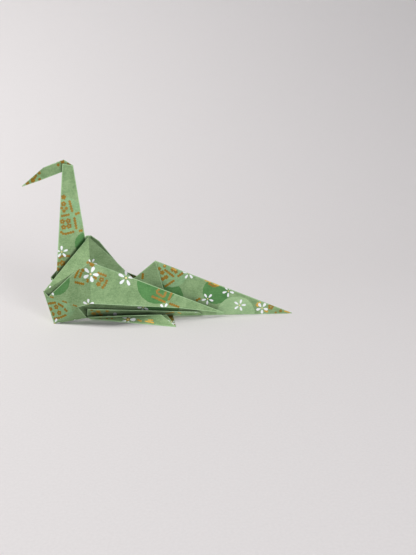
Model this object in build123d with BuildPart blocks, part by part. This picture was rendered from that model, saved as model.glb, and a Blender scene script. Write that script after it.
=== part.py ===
from build123d import *
import math
import os

# Origami crane folded from one square sheet of patterned paper, in millimetres.
# +Z is up and the crane rests on Z = 0.  X runs from the beak (-X) to the tail
# tip (+X), and the near side of the bird faces -Y.  The origin is under the
# middle of the folded crane.
#
# The crane stands as a place-card holder: the neck rises straight up at the
# front, the wings are folded down against the body, the tail lies low along
# the table, and the body is open between its near and far halves, so that a
# card stands in the slot from the ridge down to the keel.

# ---- driving dimensions -------------------------------------------------
sheet_side = 89.0        # side of the uncut square sheet, a 3.5 inch paper
ply = 0.25               # thickness of a folded panel: two plies of washi
lap = ply / 2            # how far a panel runs past its fold line, so that
                         # neighbouring panels close the outside of the fold
mitre_limit = 2.0        # longest corner, in laps, before it is blunted
table = 0.0              # height of the surface that the crane rests on

# ---- fold points (x, y, z) ----------------------------------------------
# Every fold line runs between two of these points.
points = {
    # near half of the body and the near wing
    "ridge_top_near": (-22.356, -2.851, 26.441),
    "hinge_top_near": (-21.226, -8.851, 20.206),
    "slope_mid_near": (-15.137, -4.750, 20.240),
    "slope_end_near": (-9.088, -6.711, 14.703),
    "breast_corner_near": (-36.688, -6.051, 9.786),
    "keel_front": (-33.585, -8.338, 0.120),
    "belly_rear_near": (-23.929, -6.151, 1.220),
    "wing_tip_near": (19.516, -1.751, 1.251),
    "wing_hem_near": (5.665, -4.810, 4.020),
    "hinge_foot_near": (-21.281, -11.051, 7.743),
    "wing_front_near": (-35.001, -7.251, 8.554),
    "wing_low_near": (-25.573, -10.183, 6.190),
    "wing_seam_near": (-27.007, -8.037, 16.116),
    "under_rear": (-24.717, -8.597, 9.086),
    "under_front": (-33.575, -6.645, 8.590),
    # neck and head, folded in half and reversed at the crown
    "throat_near": (-28.792, -3.101, 48.916),
    "throat_far": (-29.069, -1.151, 48.745),
    "nape": (-26.081, -2.201, 48.408),
    "neck_rear": (-22.934, -0.073, 14.415),
    "neck_foot_near": (-33.351, -3.351, 10.801),
    "neck_foot_far": (-34.242, 1.949, 9.394),
    "beak_tip": (-41.702, -2.151, 42.202),
    "brow": (-34.804, -2.151, 47.745),
    "crown": (-28.706, -2.151, 50.096),
    "jaw_near": (-36.558, -2.451, 43.947),
    "jaw_far": (-36.614, -1.851, 43.972),
    "cheek_near": (-29.408, -2.501, 46.569),
    "cheek_far": (-29.497, -1.801, 46.587),
    "keel_mid": (-32.477, -1.051, 0.120),
    # tail, with its axis fold along the table, its turned-over flap and its hem
    "axis_front": (-24.213, -2.932, 0.120),
    "tail_peak_near": (-2.032, -1.751, 18.542),
    "tail_peak_far": (-1.950, 0.549, 17.450),
    "tail_tip": (41.724, 0.889, 0.120),
    "core_rear": (-10.017, -2.176, 11.910),
    "flap_root": (-19.777, -2.696, 3.804),
    "flap_foot": (1.794, -3.551, 3.998),
    "hem_front": (-23.551, -5.051, 3.570),
    "hem_rear": (11.311, -2.251, 1.610),
    "hem_end": (12.711, -0.793, 0.120),
    # pleated lower flap, three layers that close at one tip
    "lower_front": (-22.767, -4.442, 0.120),
    "lower_tip": (4.421, -11.108, 0.120),
    "lower_back_front": (-23.255, -5.831, 1.300),
    "lower_back_top": (-0.234, -6.949, 2.400),
    "lower_back_mid": (1.315, -4.364, 1.350),
    "lower_back_low": (3.036, -1.129, 0.120),
    # far half of the body and the far wing
    "ridge_top_far": (-22.872, 3.749, 25.324),
    "ridge_front_far": (-24.131, 2.972, 25.450),
    "hinge_top_far": (-23.789, 8.549, 16.335),
    "slope_mid_far": (-20.450, 3.965, 23.427),
    "slope_end_far": (-13.233, 7.377, 12.273),
    "breast_corner_far": (-36.734, 4.349, 11.218),
    "keel_far": (-31.777, 7.549, 0.120),
    "belly_rear_far": (-23.377, 5.549, 0.120),
    "wing_tip_far": (18.723, 3.749, 0.300),
    "hinge_foot_far": (-21.077, 11.149, 3.200),
    "wing_front_far": (-35.077, 6.749, 7.400),
    "wing_low_far": (-29.892, 8.717, 3.456),
}

# ---- panels -------------------------------------------------------------
# Each panel is the flat area between its folds, named by its corner points.
panels = {
    "core_near_1": ["axis_front", "core_rear", "neck_rear"],
    "core_near_2": ["axis_front", "neck_rear", "keel_mid"],
    "under_far": ["hinge_top_far", "breast_corner_far", "wing_front_far"],
    "band_near": ["ridge_top_near", "hinge_top_near", "breast_corner_near"],
    "under_near_1": ["hinge_top_near", "breast_corner_near", "under_front"],
    "under_near_2": ["hinge_top_near", "under_front", "under_rear"],
    "slope_near": ["ridge_top_near", "hinge_top_near", "slope_end_near", "slope_mid_near"],
    "wing_near_rear": ["hinge_top_near", "wing_tip_near", "wing_hem_near", "hinge_foot_near"],
    "wing_near_front": ["hinge_top_near", "hinge_foot_near", "wing_low_near", "wing_front_near", "wing_seam_near"],
    "chest_near_1": ["wing_front_near", "wing_low_near", "keel_front"],
    "chest_near_2": ["wing_low_near", "belly_rear_near", "keel_front"],
    "chest_near_3": ["wing_front_near", "keel_front", "breast_corner_near"],
    "breast_near_1": ["breast_corner_near", "keel_front", "keel_mid"],
    "breast_near_2": ["breast_corner_near", "keel_mid", "neck_foot_near"],
    "keel_1": ["keel_front", "keel_mid", "belly_rear_far"],
    "keel_2": ["keel_front", "belly_rear_far", "axis_front"],
    "keel_3": ["keel_mid", "keel_far", "belly_rear_far"],
    "neck_near": ["throat_near", "nape", "neck_rear", "neck_foot_near"],
    "neck_far_1": ["throat_far", "nape", "neck_foot_far"],
    "neck_far_2": ["nape", "neck_rear", "neck_foot_far"],
    "neck_root_near": ["neck_foot_near", "neck_rear", "keel_mid"],
    "neck_root_far": ["neck_foot_far", "neck_rear", "keel_mid"],
    "head_near_1": ["beak_tip", "brow", "jaw_near"],
    "head_near_2": ["brow", "cheek_near", "jaw_near"],
    "head_near_3": ["brow", "crown", "cheek_near"],
    "head_near_4": ["crown", "nape", "cheek_near"],
    "head_far_1": ["beak_tip", "brow", "jaw_far"],
    "head_far_2": ["brow", "cheek_far", "jaw_far"],
    "head_far_3": ["brow", "crown", "cheek_far"],
    "head_far_4": ["crown", "nape", "cheek_far"],
    "tail_near": ["axis_front", "tail_peak_near", "tail_tip"],
    "tail_far": ["axis_front", "tail_peak_far", "tail_tip"],
    "tail_flap": ["tail_peak_near", "flap_foot", "flap_root"],
    "hem_1": ["axis_front", "hem_front", "hem_rear"],
    "hem_2": ["axis_front", "hem_rear", "hem_end"],
    "low_top": ["lower_front", "lower_tip", "lower_back_top"],
    "low_top_2": ["lower_front", "lower_back_top", "lower_back_front"],
    "low_mid": ["lower_front", "lower_tip", "lower_back_mid"],
    "low_bottom": ["lower_front", "lower_tip", "lower_back_low", "axis_front"],
    "band_far": ["ridge_top_far", "hinge_top_far", "breast_corner_far", "ridge_front_far"],
    "slope_far": ["ridge_top_far", "hinge_top_far", "slope_end_far", "slope_mid_far"],
    "wing_far_rear": ["hinge_top_far", "wing_tip_far", "hinge_foot_far"],
    "wing_far_front": ["hinge_top_far", "hinge_foot_far", "wing_low_far", "wing_front_far"],
    "chest_far_1": ["wing_front_far", "wing_low_far", "keel_far"],
    "chest_far_2": ["wing_low_far", "belly_rear_far", "keel_far"],
    "chest_far_3": ["wing_front_far", "keel_far", "breast_corner_far"],
    "breast_far_1": ["breast_corner_far", "keel_far", "keel_mid"],
    "breast_far_2": ["breast_corner_far", "keel_mid", "neck_foot_far"],
}


def panel_frame(corners):
    """Plane of a panel: origin at its first corner, x along its first fold."""
    a, b, c = (Vector(*p) for p in corners[:3])
    return Plane(origin=a, x_dir=b - a, z_dir=(b - a).cross(c - a))


def grown(outline, amount):
    """The panel's outline moved outward by the lap, with long corners blunted."""
    area = sum(p[0] * q[1] - q[0] * p[1] for p, q in zip(outline, outline[1:] + outline[:1]))
    if area < 0:
        outline = outline[::-1]
    result = []
    count = len(outline)
    for i in range(count):
        before, here, after = outline[i - 1], outline[i], outline[(i + 1) % count]
        d1 = (here[0] - before[0], here[1] - before[1])
        d2 = (after[0] - here[0], after[1] - here[1])
        l1, l2 = math.hypot(*d1), math.hypot(*d2)
        d1, d2 = (d1[0] / l1, d1[1] / l1), (d2[0] / l2, d2[1] / l2)
        n1, n2 = (d1[1], -d1[0]), (d2[1], -d2[0])
        bend = 1 + n1[0] * n2[0] + n1[1] * n2[1]
        mitre = (amount * (n1[0] + n2[0]) / bend, amount * (n1[1] + n2[1]) / bend)
        if math.hypot(*mitre) <= mitre_limit * amount:
            result.append((here[0] + mitre[0], here[1] + mitre[1]))
        else:
            run = amount * 0.8
            result.append((here[0] + amount * n1[0] + run * d1[0], here[1] + amount * n1[1] + run * d1[1]))
            result.append((here[0] + amount * n2[0] - run * d2[0], here[1] + amount * n2[1] - run * d2[1]))
    return result


# ---- the folded sheet ---------------------------------------------------
# Each panel is a plate one ply thick about its own plane.  The plates meet
# along the shared fold lines and make one solid.  What would reach under the
# table is pressed flat against it.
with BuildPart() as folded_sheet:
    for name, corner_names in panels.items():
        corners = [points[c] for c in corner_names]
        frame = panel_frame(corners)
        flat = [frame.to_local_coords(Vector(*p)) for p in corners]
        with BuildSketch(frame):
            with BuildLine():
                Polyline(*grown([(p.X, p.Y) for p in flat], lap), close=True)
            make_face()
        extrude(amount=ply / 2, both=True)
    split(bisect_by=Plane.XY.offset(table), keep=Keep.TOP)

folded_sheet.part.label = "folded_sheet"

solids = folded_sheet.part.solids()
size = folded_sheet.part.bounding_box()
print("solids", len(solids), "valid", all(s.is_valid for s in solids))
print("volume mm3", round(folded_sheet.part.volume, 1))
print("box", size.min, size.max)

os.makedirs("parts", exist_ok=True)
export_step(folded_sheet.part, "parts/folded_sheet.step")
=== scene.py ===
import bpy, math, random
from mathutils import Vector, Matrix
from mathutils.geometry import delaunay_2d_cdt


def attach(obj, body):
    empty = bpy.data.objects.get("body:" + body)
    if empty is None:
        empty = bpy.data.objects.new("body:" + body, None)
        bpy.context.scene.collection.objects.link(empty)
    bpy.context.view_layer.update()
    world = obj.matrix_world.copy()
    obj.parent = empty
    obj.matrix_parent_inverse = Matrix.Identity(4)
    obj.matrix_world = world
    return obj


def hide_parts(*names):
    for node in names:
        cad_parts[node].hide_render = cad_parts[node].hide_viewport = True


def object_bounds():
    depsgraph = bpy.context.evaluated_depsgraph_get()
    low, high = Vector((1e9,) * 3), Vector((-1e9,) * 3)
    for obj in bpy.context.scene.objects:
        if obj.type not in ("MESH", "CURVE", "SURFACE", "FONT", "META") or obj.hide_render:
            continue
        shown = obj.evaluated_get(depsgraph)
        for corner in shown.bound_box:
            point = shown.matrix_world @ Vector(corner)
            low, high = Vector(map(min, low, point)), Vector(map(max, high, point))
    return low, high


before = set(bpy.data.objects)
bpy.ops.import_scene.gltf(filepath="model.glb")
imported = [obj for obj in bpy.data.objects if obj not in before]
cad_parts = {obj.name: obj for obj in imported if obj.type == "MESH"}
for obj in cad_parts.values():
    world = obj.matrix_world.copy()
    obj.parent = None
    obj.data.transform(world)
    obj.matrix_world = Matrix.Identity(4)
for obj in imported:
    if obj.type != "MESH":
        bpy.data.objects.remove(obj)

cad_box = [list(c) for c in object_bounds()]
MM = 0.001

# ---------------------------------------------------------------- camera first
cam_data = bpy.data.cameras.new("camera")
cam = bpy.data.objects.new("camera", cam_data)
bpy.context.scene.collection.objects.link(cam)
bpy.context.scene.camera = cam
cam.location = (0.0145, -0.1981, 0.0750)
cam.rotation_euler = (math.radians(90 - 17.5), 0, 0)
cam_data.sensor_fit = "VERTICAL"
cam_data.sensor_height = 36.0
cam_data.lens = 650.0 / 555.0 * 36.0
cam_data.clip_start = 0.005

# ---------------------------------------------------------------- the fold model, in millimetres
PLY = 0.25
LAP = PLY / 2
POINTS = {
    "ridge_top_near": (-22.356, -2.851, 26.441),
    "hinge_top_near": (-21.226, -8.851, 20.206),
    "breast_corner_near": (-36.688, -6.051, 9.786),
    "keel_front": (-33.585, -8.338, 0.120),
    "belly_rear_near": (-23.929, -6.151, 1.220),
    "wing_tip_near": (19.516, -1.751, 1.251),
    "hinge_foot_near": (-21.281, -11.051, 7.743),
    "slope_end_near": (-9.088, -6.711, 14.703),
    "slope_mid_near": (-15.137, -4.750, 20.240),
    "wing_hem_near": (5.665, -4.810, 4.020),
    "wing_front_near": (-35.001, -7.251, 8.554),
    "wing_low_near": (-25.573, -10.183, 6.190),
    "wing_seam_near": (-27.007, -8.037, 16.116),
    "under_rear": (-24.717, -8.597, 9.086),
    "under_front": (-33.575, -6.645, 8.590),
    "throat_near": (-28.792, -3.101, 48.916),
    "throat_far": (-29.069, -1.151, 48.745),
    "neck_foot_near": (-33.351, -3.351, 10.801),
    "neck_foot_far": (-34.242, 1.949, 9.394),
    "nape": (-26.081, -2.201, 48.408),
    "neck_rear": (-22.934, -0.073, 14.415),
    "cheek_near": (-29.408, -2.501, 46.569),
    "cheek_far": (-29.497, -1.801, 46.587),
    "beak_tip": (-41.702, -2.151, 42.202),
    "jaw_near": (-36.558, -2.451, 43.947),
    "jaw_far": (-36.614, -1.851, 43.972),
    "brow": (-34.804, -2.151, 47.745),
    "crown": (-28.706, -2.151, 50.096),
    "keel_mid": (-32.477, -1.051, 0.120),
    "axis_front": (-24.213, -2.932, 0.120),
    "tail_peak_near": (-2.032, -1.751, 18.542),
    "tail_tip": (41.724, 0.889, 0.120),
    "tail_peak_far": (-1.950, 0.549, 17.450),
    "flap_root": (-19.777, -2.696, 3.804),
    "flap_foot": (1.794, -3.551, 3.998),
    "hem_front": (-23.551, -5.051, 3.570),
    "hem_rear": (11.311, -2.251, 1.610),
    "hem_end": (12.711, -0.793, 0.120),
    "lower_tip": (4.421, -11.108, 0.120),
    "lower_front": (-22.767, -4.442, 0.120),
    "lower_back_front": (-23.255, -5.831, 1.300),
    "lower_back_top": (-0.234, -6.949, 2.400),
    "lower_back_mid": (1.315, -4.364, 1.350),
    "lower_back_low": (3.036, -1.129, 0.120),
    "ridge_top_far": (-22.872, 3.749, 25.324),
    "ridge_front_far": (-24.131, 2.972, 25.450),
    "breast_corner_far": (-36.734, 4.349, 11.218),
    "hinge_top_far": (-23.789, 8.549, 16.335),
    "hinge_foot_far": (-21.077, 11.149, 3.200),
    "wing_tip_far": (18.723, 3.749, 0.300),
    "slope_end_far": (-13.233, 7.377, 12.273),
    "slope_mid_far": (-20.450, 3.965, 23.427),
    "core_rear": (-10.017, -2.176, 11.910),
    "wing_front_far": (-35.077, 6.749, 7.400),
    "wing_low_far": (-29.892, 8.717, 3.456),
    "keel_far": (-31.777, 7.549, 0.120),
    "belly_rear_far": (-23.377, 5.549, 0.120),
}
PANELS = {
    "core_near_1": ["axis_front", "core_rear", "neck_rear"],
    "core_near_2": ["axis_front", "neck_rear", "keel_mid"],
    "under_far": ["hinge_top_far", "breast_corner_far", "wing_front_far"],
    "band_near": ["ridge_top_near", "hinge_top_near", "breast_corner_near"],
    "under_near_1": ["hinge_top_near", "breast_corner_near", "under_front"],
    "under_near_2": ["hinge_top_near", "under_front", "under_rear"],
    "slope_near": ["ridge_top_near", "hinge_top_near", "slope_end_near", "slope_mid_near"],
    "wing_near_rear": ["hinge_top_near", "wing_tip_near", "wing_hem_near", "hinge_foot_near"],
    "wing_near_front": ["hinge_top_near", "hinge_foot_near", "wing_low_near", "wing_front_near", "wing_seam_near"],
    "chest_near_1": ["wing_front_near", "wing_low_near", "keel_front"],
    "chest_near_2": ["wing_low_near", "belly_rear_near", "keel_front"],
    "chest_near_3": ["wing_front_near", "keel_front", "breast_corner_near"],
    "breast_near_1": ["breast_corner_near", "keel_front", "keel_mid"],
    "breast_near_2": ["breast_corner_near", "keel_mid", "neck_foot_near"],
    "keel_1": ["keel_front", "keel_mid", "belly_rear_far"],
    "keel_2": ["keel_front", "belly_rear_far", "axis_front"],
    "keel_3": ["keel_mid", "keel_far", "belly_rear_far"],
    "neck_near": ["throat_near", "nape", "neck_rear", "neck_foot_near"],
    "neck_far_1": ["throat_far", "nape", "neck_foot_far"],
    "neck_far_2": ["nape", "neck_rear", "neck_foot_far"],
    "neck_root_near": ["neck_foot_near", "neck_rear", "keel_mid"],
    "neck_root_far": ["neck_foot_far", "neck_rear", "keel_mid"],
    "head_near_1": ["beak_tip", "brow", "jaw_near"],
    "head_near_2": ["brow", "cheek_near", "jaw_near"],
    "head_near_3": ["brow", "crown", "cheek_near"],
    "head_near_4": ["crown", "nape", "cheek_near"],
    "head_far_1": ["beak_tip", "brow", "jaw_far"],
    "head_far_2": ["brow", "cheek_far", "jaw_far"],
    "head_far_3": ["brow", "crown", "cheek_far"],
    "head_far_4": ["crown", "nape", "cheek_far"],
    "tail_near": ["axis_front", "tail_peak_near", "tail_tip"],
    "tail_far": ["axis_front", "tail_peak_far", "tail_tip"],
    "tail_flap": ["tail_peak_near", "flap_foot", "flap_root"],
    "hem_1": ["axis_front", "hem_front", "hem_rear"],
    "hem_2": ["axis_front", "hem_rear", "hem_end"],
    "low_top": ["lower_front", "lower_tip", "lower_back_top"],
    "low_top_2": ["lower_front", "lower_back_top", "lower_back_front"],
    "low_mid": ["lower_front", "lower_tip", "lower_back_mid"],
    "low_bottom": ["lower_front", "lower_tip", "lower_back_low", "axis_front"],
    "band_far": ["ridge_top_far", "hinge_top_far", "breast_corner_far", "ridge_front_far"],
    "slope_far": ["ridge_top_far", "hinge_top_far", "slope_end_far", "slope_mid_far"],
    "wing_far_rear": ["hinge_top_far", "wing_tip_far", "hinge_foot_far"],
    "wing_far_front": ["hinge_top_far", "hinge_foot_far", "wing_low_far", "wing_front_far"],
    "chest_far_1": ["wing_front_far", "wing_low_far", "keel_far"],
    "chest_far_2": ["wing_low_far", "belly_rear_far", "keel_far"],
    "chest_far_3": ["wing_front_far", "keel_far", "breast_corner_far"],
    "breast_far_1": ["breast_corner_far", "keel_far", "keel_mid"],
    "breast_far_2": ["breast_corner_far", "keel_mid", "neck_foot_far"],
}
# Print, in each panel's own flat millimetres: discs, dashes of the ball pattern, small blossoms and five-petal flowers.
PRINT = {
    "neck_near": [
        ('disc', 'dark', 9.88, 23.48, 3.54),
        ('disc', 'mist', 2.02, 15.64, 6.01),
        ('dash', 'ochre', 3.09, 10.51, 4.49, 14.17),
        ('dash', 'ochre', 5.2, 15.54, 6.4, 19.43),
        ('dash', 'ochre', 1.51, 20.53, 2.89, 21.38),
        ('dash', 'ochre', 2.88, 21.32, 5.86, 20.06),
        ('dash', 'ochre', 1.16, 15.79, 3.81, 14.9),
        ('dash', 'ochre', 5.29, 14.77, 6.72, 13.98),
        ('dash', 'ochre', 7.07, 19.84, 8.33, 19.52),
        ('dash', 'ochre', 1.93, 29.1, 3.45, 28.18),
        ('dash', 'ochre', 3.45, 28.18, 5.45, 28.13),
        ('dash', 'ochre', 2.02, 31.58, 2.13, 30.39),
        ('blossom', 'ochre', 1.33, 9.82, 0.65),
        ('blossom', 'ochre', 1.56, 11.87, 0.68),
        ('blossom', 'ochre', 2.55, 13.13, 0.46),
        ('blossom', 'ochre', 1.93, 14.05, 0.49),
        ('blossom', 'ochre', 1.17, 13.22, 0.43),
        ('blossom', 'ochre', 3.54, 16.96, 0.71),
        ('blossom', 'ochre', 1.85, 17.36, 0.68),
        ('blossom', 'ochre', 2.42, 19.1, 0.68),
        ('blossom', 'ochre', 3.99, 18.53, 0.71),
        ('blossom', 'ochre', 3.32, 30.58, 0.8),
        ('blossom', 'ochre', 2.15, 32.75, 0.55),
        ('flower', 'white', 2.73, 27.01, 1.97, -98.3, 1),
    ],
    "wing_near_front": [
        ('disc', 'dark', 5.74, 11.67, 4.87),
        ('dash', 'ochre', 1.86, 3.51, 5.15, 5.19),
        ('dash', 'ochre', 6.26, 5.25, 6.81, 1.86),
        ('dash', 'ochre', 3.09, 2.74, 4.96, 3.55),
        ('dash', 'ochre', 5.04, 0.77, 6.28, 0.92),
        ('dash', 'ochre', 0.28, 1.13, -0.06, -0.03),
        ('dash', 'ochre', 12.49, 9.72, 12.91, 7.9),
        ('dash', 'ochre', 13.57, 6.13, 13.9, 4.56),
        ('dash', 'ochre', 11.33, 13.82, 11.55, 12.42),
        ('blossom', 'ochre', 0.65, -0.61, 0.65),
        ('blossom', 'ochre', 2.55, 2.37, 0.49),
        ('flower', 'white', 3.66, -0.09, 2.46, -153.7, 1.1),
        ('flower', 'white', 9.34, 13.45, 1.72, 176.3, 1.05),
        ('flower', 'white', 13.01, 0.84, 1.72, -176.3, 1.15),
    ],
    "wing_near_rear": [
        ('disc', 'dark', 21.77, -1.31, 6.47),
        ('dash', 'ochre', 3.09, 2.16, 6.23, 2.22),
        ('dash', 'ochre', 6.71, 3.12, 6.71, 4.61),
        ('dash', 'ochre', 6.71, 4.61, 6.15, 6.27),
        ('dash', 'ochre', 2.46, 3.61, 3.73, 4.14),
        ('dash', 'ochre', 21.35, 3.12, 23.77, 3.21),
        ('dash', 'ochre', 23.77, 3.21, 26.4, 3.46),
        ('dash', 'ochre', 22.27, 1.36, 23.08, 0.15),
        ('dash', 'ochre', 22.32, 1.48, 25.22, 2.13),
        ('dash', 'ochre', 25.19, 2.07, 25.28, 0.18),
        ('dash', 'ochre', 26.91, 2.59, 27.13, -0.2),
        ('dash', 'ochre', 27.47, 3.37, 31.2, 3.33),
        ('dash', 'ochre', 35.32, -0.47, 36.48, -1.85),
        ('blossom', 'ochre', 5.1, 3.73, 0.68),
        ('blossom', 'ochre', 4.75, 5.34, 0.65),
        ('blossom', 'ochre', 0.77, 0.42, 0.65),
        ('flower', 'white', 1.46, 3.36, 2.46, -87.5, 1.1),
        ('flower', 'white', 11.91, 0.63, 2.59, -28.5, 0.95),
        ('flower', 'white', 4.2, 12.26, 1.72, -108.8, 1.15),
        ('flower', 'white', 38.74, -2.41, 1.97, -69.3, 0.95),
        ('flower', 'white', 26.7, 5.38, 1.79, -81.4, 1.2),
    ],
    "tail_near": [
        ('disc', 'dark', 22.74, 11.01, 6.34),
        ('disc', 'dark', 37.0, 20.19, 4.31),
        ('disc', 'pale', 36.68, 30.58, 6.31),
        ('disc', 'mist', 30.47, 6.16, 4.93),
        ('dash', 'ochre', 29.21, 3.81, 29.99, 7.85),
        ('dash', 'ochre', 30.75, 8.37, 33.03, 8.62),
        ('dash', 'ochre', 29.43, 8.64, 25.47, 8.28),
        ('dash', 'ochre', 29.97, 18.39, 31.78, 18.68),
        ('dash', 'ochre', 36.83, 16.47, 37.48, 18.55),
        ('dash', 'ochre', 37.52, 18.49, 38.92, 19.17),
        ('dash', 'gold', 36.64, 14.9, 37.75, 17.01),
        ('dash', 'gold', 37.87, 17.37, 39.08, 19.48),
        ('dash', 'gold', 49.49, 39.98, 50.64, 41.72),
        ('dash', 'gold', 43.61, 32.41, 45.61, 32.5),
        ('dash', 'gold', 43.68, 32.84, 45.06, 33.3),
        ('dash', 'gold', 45.0, 35.18, 45.12, 36.84),
        ('dash', 'gold', 29.98, 2.78, 30.23, 3.25),
        ('dash', 'gold', 31.28, 4.93, 31.82, 6.62),
        ('blossom', 'ochre', 28.17, 2.66, 0.55),
        ('blossom', 'ochre', 28.06, 4.22, 0.65),
        ('blossom', 'ochre', 28.0, 6.13, 0.65),
        ('blossom', 'ochre', 26.81, 5.91, 0.59),
        ('blossom', 'ochre', 30.0, 3.14, 0.46),
        ('blossom', 'ochre', 31.2, 5.61, 0.62),
        ('blossom', 'ochre', 31.47, 6.84, 0.55),
        ('blossom', 'ochre', 47.08, 35.97, 0.83),
        ('blossom', 'ochre', 48.62, 39.23, 0.46),
        ('blossom', 'ochre', 47.08, 38.58, 0.34),
        ('blossom', 'ochre', 49.35, 38.76, 0.31),
        ('blossom', 'gold', 44.54, 32.49, 0.49),
        ('blossom', 'gold', 45.11, 36.0, 0.52),
        ('flower', 'white', 34.2, 9.94, 1.94, 22.8, 1),
        ('flower', 'white', 33.31, 20.37, 1.97, -9.4, 0.95),
        ('flower', 'white', 39.97, 22.75, 1.94, -11.8, 0.95),
        ('flower', 'white', 39.75, 28.84, 2.03, 37.9, 0.95),
        ('flower', 'white', 44.65, 34.41, 1.97, -14.6, 1.2),
        ('flower', 'white', 15.86, 9.02, 1.85, 72.7, 1.1),
    ],
    "hem_1": [
        ('disc', 'dark', 9.31, 3.69, 4.0),
        ('dash', 'gold', 4.68, 24.64, 6.05, 27.35),
        ('dash', 'gold', 5.96, 28.42, 5.36, 29.67),
        ('blossom', 'gold', 2.28, 1.93, 0.71),
        ('blossom', 'gold', 3.44, 3.34, 0.68),
        ('blossom', 'gold', 2.06, 4.15, 0.59),
        ('blossom', 'gold', 4.02, 6.15, 0.49),
        ('blossom', 'ochre', 3.99, 1.25, 0.37),
        ('flower', 'white', 0.82, 8.78, 2.77, -3.2, 1.2),
        ('flower', 'white', 7.41, 17.28, 1.85, 127.7, 1.1),
        ('flower', 'white', 7.93, 34.26, 1.72, 106.5, 1.2),
    ],
    "chest_near_1": [
        ('disc', 'mist', 3.68, 3.55, 5.24),
        ('dash', 'ochre', 0.14, 2.3, 2.93, 0.89),
        ('dash', 'ochre', 3.44, 0.98, 5.66, 1.5),
        ('dash', 'ochre', 5.88, 1.9, 7.2, 2.52),
        ('dash', 'ochre', 7.05, 3.66, 5.17, 5.28),
        ('dash', 'ochre', 5.17, 5.28, 3.13, 6.42),
        ('blossom', 'ochre', 3.21, 2.28, 0.68),
        ('blossom', 'ochre', 1.47, 3.64, 0.59),
        ('blossom', 'ochre', 2.55, 4.97, 0.62),
        ('blossom', 'ochre', 4.59, 3.84, 0.68),
        ('flower', 'white', 3.68, 7.74, 1.85, -74.1, 1.0),
    ],
    "chest_near_2": [
        ('disc', 'mist', -1.77, 6.02, 5.24),
        ('dash', 'ochre', -1.75, 3.65, 0.35, 3.49),
        ('dash', 'ochre', 1.69, 4.47, 1.93, 6.7),
        ('flower', 'white', 3.65, 9.4, 1.85, -137.0, 1.0),
        ('flower', 'white', 6.65, 4.52, 1.85, -136.7, 0.9),
    ],
    "chest_near_3": [
        ('disc', 'mist', 4.58, -2.52, 5.24),
        ('dash', 'ochre', 2.22, 1.13, 1.82, -3.1),
        ('blossom', 'ochre', 3.94, 0.24, 0.59),
    ],
    "head_near_1": [
        ('disc', 'mist', 3.68, 0.92, 2.93),
        ('dash', 'ochre', 5.82, 0.17, 4.49, 0.65),
        ('dash', 'ochre', 4.46, 0.69, 3.51, 0.17),
        ('dash', 'ochre', 2.33, 0.47, 1.28, 0.25),
        ('blossom', 'ochre', 6.76, 0.32, 0.46),
        ('blossom', 'ochre', 3.73, 0.81, 0.62),
        ('blossom', 'ochre', 1.94, 0.35, 0.52),
        ('blossom', 'ochre', 5.61, 1.83, 0.43),
    ],
    "head_near_2": [
        ('disc', 'mist', -2.5, 4.59, 2.93),
        ('dash', 'ochre', -1.74, 2.46, -2.2, 3.79),
        ('blossom', 'ochre', -1.05, 1.82, 0.46),
        ('blossom', 'ochre', -0.62, 3.67, 0.43),
        ('blossom', 'ochre', 4.17, -1.82, 0.4),
    ],
    "slope_near": [
        ('dash', 'ochre', 9.11, -1.07, 8.65, 0.03),
        ('flower', 'white', 13.1, 11.01, 2.59, 103.2, 0.95),
        ('flower', 'white', 9.02, 0.48, 1.72, 151.3, 0.9),
    ],
    "band_near": [
        ('dash', 'ochre', 8.51, 1.3, 8.67, -0.04),
        ('flower', 'white', 12.86, 15.76, 1.72, 175.7, 1.05),
        ('flower', 'white', 9.29, -0.58, 1.72, -136.8, 0.9),
    ],
    "tail_flap": [
        ('dash', 'ochre', 2.74, 4.81, 4.61, 5.53),
    ],
    "hem_2": [
        ('dash', 'gold', 25.08, -0.0, 28.01, -1.13),
        ('dash', 'gold', 29.05, -0.74, 30.14, 0.38),
        ('blossom', 'gold', 2.46, -2.54, 0.71),
        ('blossom', 'gold', 4.11, -3.71, 0.68),
        ('blossom', 'gold', 4.54, -1.69, 0.59),
        ('blossom', 'gold', 6.96, -3.77, 0.49),
        ('blossom', 'gold', 12.66, 3.23, 0.55),
        ('flower', 'white', 8.73, 1.13, 2.77, -81.8, 1.2),
        ('flower', 'white', 12.66, 3.23, 2.53, -68.6, 1.25),
        ('flower', 'white', 35.14, -1.89, 1.72, 35.1, 1.2),
    ],
    "low_top": [
        ('dash', 'gold', 15.27, 1.21, 16.92, 0.61),
        ('dash', 'gold', 17.91, 0.89, 21.05, 0.55),
        ('dash', 'gold', 18.76, 1.42, 20.52, 1.38),
        ('blossom', 'gold', 12.26, 0.91, 0.55),
        ('blossom', 'ochre', 3.11, 0.58, 0.34),
        ('blossom', 'ochre', 5.25, 0.68, 0.34),
        ('blossom', 'ochre', 6.91, 0.81, 0.34),
        ('flower', 'white', 12.26, 0.91, 2.53, 76.8, 1.25),
    ],
    "low_top_2": [
        ('blossom', 'ochre', 3.21, 0.15, 0.34),
        ('blossom', 'ochre', 5.13, -0.45, 0.34),
        ('blossom', 'ochre', 6.67, -0.81, 0.34),
    ],
    "head_near_3": [
        ('blossom', 'ochre', 4.48, 0.79, 0.4),
        ('blossom', 'ochre', 6.05, 0.35, 0.55),
    ],
    "head_near_4": [
        ('blossom', 'ochre', 0.0, 0.59, 0.55),
        ('blossom', 'ochre', 1.95, 0.22, 0.46),
    ],
}
PLAIN = {"slope_far", "band_far", "core_near_1", "core_near_2", "under_far", "under_near_1", "under_near_2"}
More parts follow.
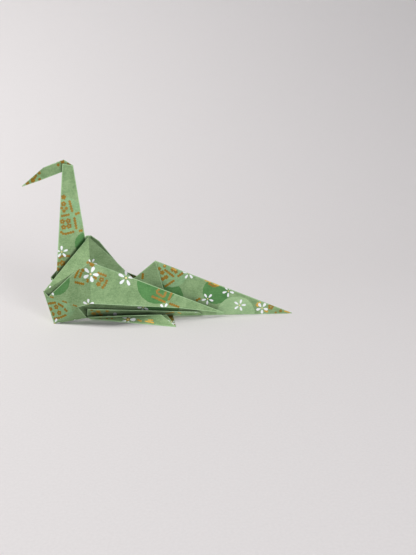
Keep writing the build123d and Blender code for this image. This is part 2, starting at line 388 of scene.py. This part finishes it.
# Painted shade, one factor for a whole panel. The paper is one even colour: these factors are not wear or print.
# They make up for shade that the lights here do not give, and were set by comparing patches with the photograph
# on the near half. Those of the far half are guessed. 1 is the plain paper.
PAINTED_SHADE = {"slope_near": 0.68, "slope_far": 0.74, "band_near": 0.94, "band_far": 0.94, "wing_near_front": 0.78, "wing_far_front": 0.84,
        "chest_near_1": 0.74, "chest_near_2": 0.66, "chest_near_3": 0.86, "chest_far_1": 0.82, "chest_far_2": 0.76,
        "tail_near": 0.88, "tail_far": 0.9, "tail_flap": 0.76, "head_near_1": 0.86, "head_near_2": 0.86, "head_near_3": 0.88,
        "core_near_1": 0.7, "core_near_2": 0.7, "under_near_1": 0.7, "under_near_2": 0.7}
P = {k: Vector(v) for k, v in POINTS.items()}


def frame_of(corners):
    a, b, c = (P[n] for n in corners[:3])
    x = (b - a).normalized()
    z = (b - a).cross(c - a).normalized()
    return a, x, z.cross(x), z


def fold_growth(name, i):
    """How far an edge runs past its fold line: the exact mitre on a shallow fold, a full lap elsewhere."""
    cs = PANELS[name]
    e = {cs[i], cs[(i + 1) % len(cs)]}
    mid = sum((P[c] for c in cs), Vector()) / len(cs)
    for other, os_ in PANELS.items():
        if other == name or not e <= set(os_):
            continue
        a, b = (P[c] for c in e)
        d = (b - a).normalized()
        om = sum((P[c] for c in os_), Vector()) / len(os_)
        u = (mid - a) - d * (mid - a).dot(d)
        v = (om - a) - d * (om - a).dot(d)
        bend = math.pi - u.angle(v)
        if bend < math.radians(62):
            return LAP * math.tan(bend / 2), True
    return LAP, False


def grown(outline, amounts, limit):
    n = len(outline)
    res, tags = [], []
    for i in range(n):
        p0, p, p1 = outline[i - 1], outline[i], outline[(i + 1) % n]
        d1, d2 = (p - p0).normalized(), (p1 - p).normalized()
        n1, n2 = Vector((d1.y, -d1.x)), Vector((d2.y, -d2.x))
        g1, g2 = amounts[i - 1], amounts[i]
        det = n1.x * n2.y - n1.y * n2.x
        if abs(det) < 1e-4:
            res.append(p + n1 * g1)
            continue
        m = Vector(((g1 * n2.y - g2 * n1.y) / det, (n1.x * g2 - n2.x * g1) / det))
        if m.length <= limit:
            res.append(p + m)
        else:
            res.append(p + n1 * g1 + d1 * 0.1)
            res.append(p + n2 * g2 - d2 * 0.1)
    return res


def circle(cx, cy, r, n, wob=0.0, lobes=5, ph=0.0):
    return [Vector((cx + (r + wob * math.cos(lobes * 2 * math.pi * k / n + ph)) * math.cos(2 * math.pi * k / n),
                    cy + (r + wob * math.cos(lobes * 2 * math.pi * k / n + ph)) * math.sin(2 * math.pi * k / n))) for k in range(n)]


def petal(cx, cy, ang, r0, r1, w):
    out = []
    n = 16
    L = r1 - r0
    for k in range(n):
        t = 2 * math.pi * k / n
        s = 0.5 - 0.5 * math.cos(t)
        x = r0 + L * s
        y = w / 2 * math.sin(t) * (0.55 + 0.62 * s)
        out.append(Vector((cx + x * math.cos(ang) - y * math.sin(ang), cy + x * math.sin(ang) + y * math.cos(ang))))
    return out


def capsule(x1, y1, x2, y2, w, rng):
    """A dash of the ball pattern: a short stroke with a beaded outline."""
    a, b = Vector((x1, y1)), Vector((x2, y2))
    d = b - a
    L = max(d.length, 1e-3)
    d /= L
    nrm = Vector((-d.y, d.x))
    beads = max(2, int(round(L / (w * 0.85))))
    steps = beads * 6
    top, bot = [], []
    for k in range(steps + 1):
        s = k / steps
        end = min(1.0, math.sin(math.pi * min(max(s, 0.0), 1.0)) * 2.2 + 0.32)
        h = w / 2 * end * (0.80 + 0.26 * math.cos(2 * math.pi * beads * s + math.pi))
        top.append(a + d * L * s + nrm * h * (1 + 0.08 * rng.random()))
        bot.append(a + d * L * s - nrm * h * (1 + 0.08 * rng.random()))
    return top + bot[::-1]


def shapes_for(name, rng, size):
    """[(kind, polygon)] with the top print last."""
    lo, hi = size
    items = list(PRINT.get(name, []))
    if not PRINT.get(name) and name not in PLAIN:
        # A panel that is turned away gets the same print, scattered.
        w, h = hi.x - lo.x, hi.y - lo.y
        n = max(1, int(w * h / 75))
        for _ in range(n):
            items.append(("disc", rng.choice(["dark", "dark", "pale"]), lo.x + rng.random() * w, lo.y + rng.random() * h, 3.0 + 2.5 * rng.random()))
        for _ in range(int(w * h / 150 + 0.5)):
            cx, cy, r = lo.x + rng.random() * w, lo.y + rng.random() * h, 4.6
            items.append(("disc", "mist", cx, cy, r + 0.7))
            turn = rng.random() * 1.2
            for k in range(6):
                a0 = turn + k * math.pi / 3 + 0.14
                a1 = turn + (k + 1) * math.pi / 3 - 0.14
                items.append(("dash", "ochre", cx + r * math.cos(a0), cy + r * math.sin(a0), cx + r * math.cos(a1), cy + r * math.sin(a1)))
                am = turn + k * math.pi / 3
                items.append(("dash", "ochre", cx + 1.7 * math.cos(am), cy + 1.7 * math.sin(am), cx + 3.9 * math.cos(am), cy + 3.9 * math.sin(am)))
                ab = am + math.pi / 6
                items.append(("blossom", "ochre", cx + 2.7 * math.cos(ab), cy + 2.7 * math.sin(ab), 0.62))
        spots = []
        for _ in range(max(3, int(w * h / 9))):
            q = Vector((lo.x + rng.random() * w, lo.y + rng.random() * h))
            if all((q - s).length > 5.2 for s in spots):
                spots.append(q)
                items.append(("flower", "white", q.x, q.y, rng.choice([1.95, 1.95, 2.6]), rng.random() * 360, 1.0))
    out = []
    for it in items:
        kind = it[0]
        if kind == "disc":
            out.append((it[1], circle(it[2], it[3], it[4], 72, 0.06 * min(1.0, it[4] / 4), 17, it[2])))
        elif kind == "dash":
            out.append((it[1], capsule(it[2], it[3], it[4], it[5], 0.6 if it[1] == "gold" else 0.88, rng)))
        elif kind == "blossom":
            out.append((it[1], circle(it[2], it[3], it[4] * 1.12, 20, it[4] * 0.2, 5, it[2])))
            if it[4] > 0.66:
                out.append(("hollow", circle(it[2], it[3], it[4] * 0.24, 8)))
        elif kind == "flower":
            _, _, cx, cy, r, a, wf = it
            for k in range(5):
                out.append(("white", petal(cx, cy, math.radians(a + 72 * k), r * 0.25, r, r * 0.41 * wf)))
            out.append(("cream", circle(cx, cy, r * 0.115, 10)))
    order = {"dark": 0, "pale": 1, "mist": 2, "ochre": 3, "hollow": 4, "gold": 5, "white": 6, "cream": 7}
    out.sort(key=lambda s: order[s[0]])
    return out


def inside(pt, poly):
    x, y = pt.x, pt.y
    c = False
    j = len(poly) - 1
    for i in range(len(poly)):
        yi, yj = poly[i].y, poly[j].y
        if (yi > y) != (yj > y) and x < (poly[j].x - poly[i].x) * (y - yi) / (yj - yi) + poly[i].x:
            c = not c
        j = i
    return c


def seg_dist(p, a, b):
    d = b - a
    t = max(0.0, min(1.0, (p - a).dot(d) / max(d.length_squared, 1e-9)))
    return (p - a - d * t).length


KINDS = ["base", "dark", "pale", "mist", "ochre", "gold", "white", "cream", "edge"]
SLOT = {k: i for i, k in enumerate(KINDS)}
SLOT["hollow"] = SLOT["mist"]

verts, tris, mats, painted_shade_per_face, sharp = [], [], [], [], set()
BOW = {"wing_near_rear": 0.35, "wing_near_front": 0.22, "tail_near": 0.30, "tail_far": -0.30, "neck_near": 0.16, "band_near": 0.2,
       "slope_near": -0.25, "wing_far_rear": -0.35, "wing_far_front": -0.2, "band_far": -0.2, "slope_far": 0.2, "low_top": 0.18,
       "hem_1": 0.12, "tail_flap": 0.14, "chest_near_1": 0.12}

for index, (name, corners) in enumerate(PANELS.items()):
    rng = random.Random(1000 + index)
    A, X, Y, Z = frame_of(corners)
    flat = [Vector(((P[c] - A).dot(X), (P[c] - A).dot(Y))) for c in corners]
    growth = [fold_growth(name, i) for i in range(len(corners))]
    area = sum(a.x * b.y - b.x * a.y for a, b in zip(flat, flat[1:] + flat[:1]))
    if area < 0:
        n = len(flat)
        flat = flat[::-1]
        growth = [growth[(n - 2 - i) % n] for i in range(n)]
    inner = grown(flat, [g if soft else g - 0.05 for g, soft in growth], 2 * LAP)
    outward = [not soft for g, soft in growth]
    lo = Vector((min(p.x for p in inner), min(p.y for p in inner)))
    hi = Vector((max(p.x for p in inner), max(p.y for p in inner)))
    shapes = shapes_for(name, rng, (lo, hi))
    pts = [p.copy() for p in inner]
    edges = [(i, (i + 1) % len(inner)) for i in range(len(inner))]
    keep = []
    for kind, poly in shapes:
        if not any(inside(q, inner) for q in poly) and not any(inside(q, poly) for q in inner):
            continue
        if max(q.x for q in poly) < lo.x or min(q.x for q in poly) > hi.x or max(q.y for q in poly) < lo.y or min(q.y for q in poly) > hi.y:
            continue
        keep.append((kind, poly, min(q.x for q in poly), max(q.x for q in poly), min(q.y for q in poly), max(q.y for q in poly)))
        s = len(pts)
        pts += poly
        edges += [(s + k, s + (k + 1) % len(poly)) for k in range(len(poly))]
    # A lighter band along each outward fold, in the edge colour: partly wear, partly painted highlight where light
    # catches the fold.
    wear_and_highlight_width = 0.15
    inset = [q for q in grown(flat, [-0.10 - (wear_and_highlight_width - LAP if soft else 0.0) for g, soft in growth], 2.0)]
    if all(inside(q, inner) for q in inset) and len(inset) == len(flat):
        s = len(pts)
        pts += inset
        edges += [(s + k, s + (k + 1) % len(inset)) for k in range(len(inset))]
    step = 1.1
    gx = int((hi.x - lo.x) / step) + 1
    gy = int((hi.y - lo.y) / step) + 1
    for a in range(1, gx):
        for b in range(1, gy):
            q = Vector((lo.x + a * step + 0.3 * (rng.random() - 0.5), lo.y + b * step + 0.3 * (rng.random() - 0.5)))
            if inside(q, inner) and min(seg_dist(q, inner[i], inner[(i + 1) % len(inner)]) for i in range(len(inner))) > 0.25:
                pts.append(q)
    cv, _, cf, _, _, _ = delaunay_2d_cdt([p.to_2d() for p in pts], edges, [], 0, 1e-5, True)
    tri = []
    for f in cf:
        c = (cv[f[0]] + cv[f[1]] + cv[f[2]]) / 3
        if inside(c, inner):
            kind = "base"
            for k, poly, x0, x1, y0, y1 in keep[::-1]:
                if x0 <= c.x <= x1 and y0 <= c.y <= y1 and inside(c, poly):
                    kind = k
                    break
            # Face triangles next to an outward fold take the lighter edge colour: wear and painted highlight.
            if kind in ("base", "dark", "pale", "mist"):
                near = min(range(len(flat)), key=lambda k: seg_dist(c, flat[k], flat[(k + 1) % len(flat)]))
                if outward[near] and max(min(seg_dist(cv[i], flat[k], flat[(k + 1) % len(flat)]) for k in range(len(flat))) for i in f) < 0.16:
                    kind = "edge"
            ar = (cv[f[1]].x - cv[f[0]].x) * (cv[f[2]].y - cv[f[0]].y) - (cv[f[1]].y - cv[f[0]].y) * (cv[f[2]].x - cv[f[0]].x)
            if abs(ar) < 1e-9:
                continue
            tri.append((f if ar > 0 else f[::-1], kind))
    used = sorted({i for f, _ in tri for i in f})
    bow = BOW.get(name, 0.0)
    # the bow is given towards the panel's outer side, which is -Y on the near half
    side = 1.0 if Z.y < 0 else -1.0
    base = len(verts)
    front, back = {}, {}
    for i in used:
        q = cv[i]
        d = min(seg_dist(q, inner[k], inner[(k + 1) % len(inner)]) for k in range(len(inner)))
        lift = bow * side * (1 - math.exp(-d / 2.2)) + 0.035 * math.sin(q.x * 0.9 + index) * math.sin(q.y * 1.1 + 2 * index) * (1 - math.exp(-d / 0.8))
        co = A + X * q.x + Y * q.y + Z * lift
        front[i] = len(verts); verts.append(co + Z * LAP)
        back[i] = len(verts); verts.append(co - Z * LAP)
    first = len(tris)
    count = {}
    for f, kind in tri:
        tris.append((front[f[0]], front[f[1]], front[f[2]])); mats.append(SLOT[kind])
        tris.append((back[f[2]], back[f[1]], back[f[0]])); mats.append(SLOT[kind])
        for k in range(3):
            e = (f[k], f[(k + 1) % 3])
            count[e] = count.get(e, 0) + 1
    border = [e for e in count if (e[1], e[0]) not in count]
    # the cut or folded edge, rounded outward, in the lighter edge colour: part wear, part painted highlight
    nrm = {}
    for a, b in border:
        mid = (cv[a] + cv[b]) / 2
        k = min(range(len(inner)), key=lambda k: seg_dist(mid, inner[k], inner[(k + 1) % len(inner)]))
        d = (cv[b] - cv[a]).normalized()
        out = Vector((d.y, -d.x))
        o = 0.05
        # a shallow fold keeps a plain wall that its neighbour covers
        best = min(range(len(flat)), key=lambda k: seg_dist(mid, flat[k], flat[(k + 1) % len(flat)]))
        if not outward[best]:
            o = 0.0
        for i in (a, b):
            nrm.setdefault(i, []).append((out, o))
    rim = {}
    for i, ns in nrm.items():
        v = sum((n_ for n_, _ in ns), Vector((0, 0)))
        v = v.normalized() if v.length > 1e-6 else ns[0][0]
        o = min(x for _, x in ns)
        off = X * (v.x * o) + Y * (v.y * o)
        u = verts[front[i]]; l = verts[back[i]]
        rim[i] = (len(verts), len(verts) + 1)
        verts.append(u + off - Z * (LAP * 0.5)); verts.append(l + off + Z * (LAP * 0.5))
    for a, b in border:
        ru, rl = rim[a], rim[b]
        for q in ((front[b], front[a], ru[0], rl[0]), (rl[0], ru[0], ru[1], rl[1]), (rl[1], ru[1], back[a], back[b])):
            tris.append(q); mats.append(SLOT["edge"])
        sharp.add((front[a], front[b])); sharp.add((back[a], back[b]))
    # Every face of a panel takes the panel's painted shade factor.
    painted_shade_per_face += [PAINTED_SHADE.get(name, 1.0)] * (len(tris) - first)

lo_box = Vector(cad_box[0]) / MM
hi_box = Vector(cad_box[1]) / MM
for v in verts:
    for k in range(3):
        v[k] = min(max(v[k], lo_box[k]), hi_box[k])
mesh = bpy.data.meshes.new("paper_crane")
mesh.from_pydata([tuple(v * MM) for v in verts], [], tris)
mesh.update()
mesh.polygons.foreach_set("material_index", mats)
mesh.polygons.foreach_set("use_smooth", [True] * len(mesh.polygons))
sh = {tuple(sorted(e)) for e in sharp}
flags = [tuple(sorted(e.vertices)) in sh for e in mesh.edges]
att = mesh.attributes.get("sharp_edge") or mesh.attributes.new("sharp_edge", "BOOLEAN", "EDGE")
att.data.foreach_set("value", flags)
# Each face carries its panel's painted shade factor.
painted_shade = mesh.attributes.new("painted_shade", "FLOAT", "FACE")
painted_shade.data.foreach_set("value", painted_shade_per_face)
crane = bpy.data.objects.new("paper_crane", mesh)
bpy.context.scene.collection.objects.link(crane)


# ---------------------------------------------------------------- materials
def lin(r, g, b):
    return tuple(((c / 255) / 12.92 if c / 255 <= 0.04045 else ((c / 255 + 0.055) / 1.055) ** 2.4) for c in (r, g, b)) + (1,)


def paper(name, light, deep, rough=0.78, metal=0.0, bump=0.22, grain=1.0, sheen=0.0, foil=False):
    """Washi: a base with cloudy pulp, short fibres and a fine tooth; its colour is darkened by painted shade, the
    panel's shade factor and occlusion in creases and gaps; foil adds a broken glitter.
    """
    m = bpy.data.materials.new(name)
    m.use_nodes = True
    nt = m.node_tree
    N, L = nt.nodes, nt.links
    bs = N["Principled BSDF"]
    tc = N.new("ShaderNodeTexCoord")
    cloud = N.new("ShaderNodeTexNoise"); cloud.inputs["Scale"].default_value = 260; cloud.inputs["Detail"].default_value = 4
    fine = N.new("ShaderNodeTexNoise"); fine.inputs["Scale"].default_value = 2300; fine.inputs["Detail"].default_value = 3; fine.inputs["Roughness"].default_value = 0.65
    mp = N.new("ShaderNodeMapping"); mp.inputs["Scale"].default_value = (700, 700, 3200); mp.inputs["Rotation"].default_value = (0.5, 0.9, 0.3)
    fib = N.new("ShaderNodeTexNoise"); fib.inputs["Scale"].default_value = 1.0; fib.inputs["Detail"].default_value = 2; fib.inputs["Distortion"].default_value = 0.6
    L.new(tc.outputs["Object"], cloud.inputs["Vector"]); L.new(tc.outputs["Object"], fine.inputs["Vector"])
    L.new(tc.outputs["Object"], mp.inputs["Vector"]); L.new(mp.outputs["Vector"], fib.inputs["Vector"])
    a1 = N.new("ShaderNodeMath"); a1.operation = "MULTIPLY"; a1.inputs[1].default_value = 0.34
    a2 = N.new("ShaderNodeMath"); a2.operation = "MULTIPLY_ADD"; a2.inputs[1].default_value = 0.42
    a3 = N.new("ShaderNodeMath"); a3.operation = "MULTIPLY_ADD"; a3.inputs[1].default_value = 0.24
    L.new(cloud.outputs["Fac"], a1.inputs[0]); L.new(fine.outputs["Fac"], a2.inputs[0]); L.new(a1.outputs[0], a2.inputs[2])
    L.new(fib.outputs["Fac"], a3.inputs[0]); L.new(a2.outputs[0], a3.inputs[2])
    ramp = N.new("ShaderNodeValToRGB")
    ramp.color_ramp.elements[0].position = 0.5 - 0.16 / grain; ramp.color_ramp.elements[0].color = deep
    ramp.color_ramp.elements[1].position = 0.5 + 0.16 / grain; ramp.color_ramp.elements[1].color = light
    L.new(a3.outputs[0], ramp.inputs["Fac"])
    # The panel's painted shade factor, read per face, scales the base colour.
    at = N.new("ShaderNodeAttribute"); at.attribute_name = "painted_shade"
    # Ambient occlusion darkens the base colour in creases, gaps and under overhangs: painted shade.
    ao = N.new("ShaderNodeAmbientOcclusion"); ao.samples = 8; ao.only_local = True; ao.inputs["Distance"].default_value = 0.0032
    am = N.new("ShaderNodeMapRange"); am.inputs["From Min"].default_value = 0.3; am.inputs["From Max"].default_value = 0.97
    am.inputs["To Min"].default_value = 0.34; am.inputs["To Max"].default_value = 1.0
    L.new(ao.outputs["AO"], am.inputs["Value"])
    tm = N.new("ShaderNodeMath"); tm.operation = "MULTIPLY"
    L.new(at.outputs["Fac"], tm.inputs[0]); L.new(am.outputs["Result"], tm.inputs[1])
    sc = N.new("ShaderNodeVectorMath"); sc.operation = "SCALE"
    L.new(ramp.outputs["Color"], sc.inputs[0]); L.new(tm.outputs[0], sc.inputs["Scale"])
    L.new(sc.outputs["Vector"], bs.inputs["Base Color"])
    rr = N.new("ShaderNodeMapRange"); rr.inputs["To Min"].default_value = rough - 0.07; rr.inputs["To Max"].default_value = rough + 0.07
    L.new(fine.outputs["Fac"], rr.inputs["Value"]); L.new(rr.outputs["Result"], bs.inputs["Roughness"])
    bs.inputs["Metallic"].default_value = metal
    bs.inputs["Specular IOR Level"].default_value = 0.35
    bs.inputs["Sheen Weight"].default_value = sheen
    b = N.new("ShaderNodeBump"); b.inputs["Strength"].default_value = bump; b.inputs["Distance"].default_value = 0.00006
    L.new(a3.outputs[0], b.inputs["Height"])
    if foil:
        vo = N.new("ShaderNodeTexVoronoi"); vo.inputs["Scale"].default_value = 2600
        L.new(tc.outputs["Object"], vo.inputs["Vector"])
        b2 = N.new("ShaderNodeBump"); b2.inputs["Strength"].default_value = 0.5; b2.inputs["Distance"].default_value = 0.0001
        L.new(vo.outputs["Distance"], b2.inputs["Height"]); L.new(b.outputs["Normal"], b2.inputs["Normal"])
        L.new(b2.outputs["Normal"], bs.inputs["Normal"])
    else:
        L.new(b.outputs["Normal"], bs.inputs["Normal"])
    return m


table = {
    "base": paper("washi_green", lin(150, 179, 130), lin(112, 144, 96), 0.8, 0.0, 0.34, 1.5),
    "dark": paper("washi_dark_disc", lin(94, 146, 84), lin(70, 122, 64), 0.78, 0.0, 0.34, 1.5),
    "pale": paper("washi_pale_disc", lin(170, 200, 151), lin(144, 177, 129), 0.8, 0.0, 0.34, 1.5),
    "mist": paper("washi_mist_disc", lin(150, 186, 138), lin(122, 160, 112), 0.8, 0.0, 0.34, 1.5),
    "ochre": paper("print_ochre", lin(168, 130, 24), lin(122, 90, 10), 0.52, 0.05, 0.35, 1.2),
    "gold": paper("foil_gold", lin(228, 190, 92), lin(182, 136, 44), 0.42, 0.4, 0.3, 1.1, 0.0, True),
    "white": paper("print_white", lin(250, 251, 252), lin(228, 234, 236), 0.6, 0.0, 0.15, 0.9),
    "cream": paper("print_cream", lin(248, 232, 170), lin(226, 200, 120), 0.6, 0.0, 0.15, 0.9),
    # Lighter than the paper: wear at the folds and painted highlight where light catches them.
    "edge": paper("washi_edge", lin(176, 206, 160), lin(146, 184, 132), 0.85),
}
for k in KINDS:
    mesh.materials.append(table[k])

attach(crane, "root")
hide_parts("folded_sheet")

# ---------------------------------------------------------------- floor, sweep and light
fm = bpy.data.materials.new("floor_white")
fm.use_nodes = True
N, L = fm.node_tree.nodes, fm.node_tree.links
bs = N["Principled BSDF"]
tc = N.new("ShaderNodeTexCoord")
nz = N.new("ShaderNodeTexNoise"); nz.inputs["Scale"].default_value = 1800; nz.inputs["Detail"].default_value = 3
rp = N.new("ShaderNodeValToRGB")
rp.color_ramp.elements[0].color = lin(222, 219, 220); rp.color_ramp.elements[1].color = lin(232, 229, 230)
L.new(tc.outputs["Object"], nz.inputs["Vector"]); L.new(nz.outputs["Fac"], rp.inputs["Fac"]); L.new(rp.outputs["Color"], bs.inputs["Base Color"])
bs.inputs["Roughness"].default_value = 0.9
bs.inputs["Specular IOR Level"].default_value = 0.2
prof = [(-1.2, 0.0), (0.05, 0.0)]
for k in range(1, 33):
    a = math.pi / 2 * k / 32
    prof.append((0.05 + 0.7 * math.sin(a), 0.7 - 0.7 * math.cos(a)))
prof.append((0.75, 1.6))
fv, ff = [], []
for y, z in prof:
    fv += [(-1.6, y, z), (1.6, y, z)]
for k in range(len(prof) - 1):
    ff.append((2 * k, 2 * k + 1, 2 * k + 3, 2 * k + 2))
fmesh = bpy.data.meshes.new("floor")
fmesh.from_pydata(fv, [], ff)
fmesh.update()
fmesh.polygons.foreach_set("use_smooth", [True] * len(fmesh.polygons))
fmesh.materials.append(fm)
floor = bpy.data.objects.new("floor", fmesh)
bpy.context.scene.collection.objects.link(floor)


def area(name, loc, target, size, power, color=(1, 1, 1)):
    ld = bpy.data.lights.new(name, "AREA")
    ld.shape = "DISK"
    ld.size = size
    ld.energy = power
    ld.color = color
    o = bpy.data.objects.new(name, ld)
    bpy.context.scene.collection.objects.link(o)
    o.location = loc
    o.rotation_euler = (Vector(target) - Vector(loc)).to_track_quat("-Z", "Y").to_euler()
    return o


area("key_above", (-0.52, -0.04, 0.62), (0, 0, 0.01), 0.34, 6.1, (1.0, 0.985, 0.965))
area("fill_front", (0.46, -0.62, 0.12), (0, 0, 0.02), 0.34, 5.0, (0.98, 0.985, 1.0))
world = bpy.data.worlds.new("world")
bpy.context.scene.world = world
world.use_nodes = True
world.node_tree.nodes["Background"].inputs["Color"].default_value = (0.93, 0.95, 1.0, 1)
world.node_tree.nodes["Background"].inputs["Strength"].default_value = 0.08
bpy.context.scene.view_settings.view_transform = "Standard"
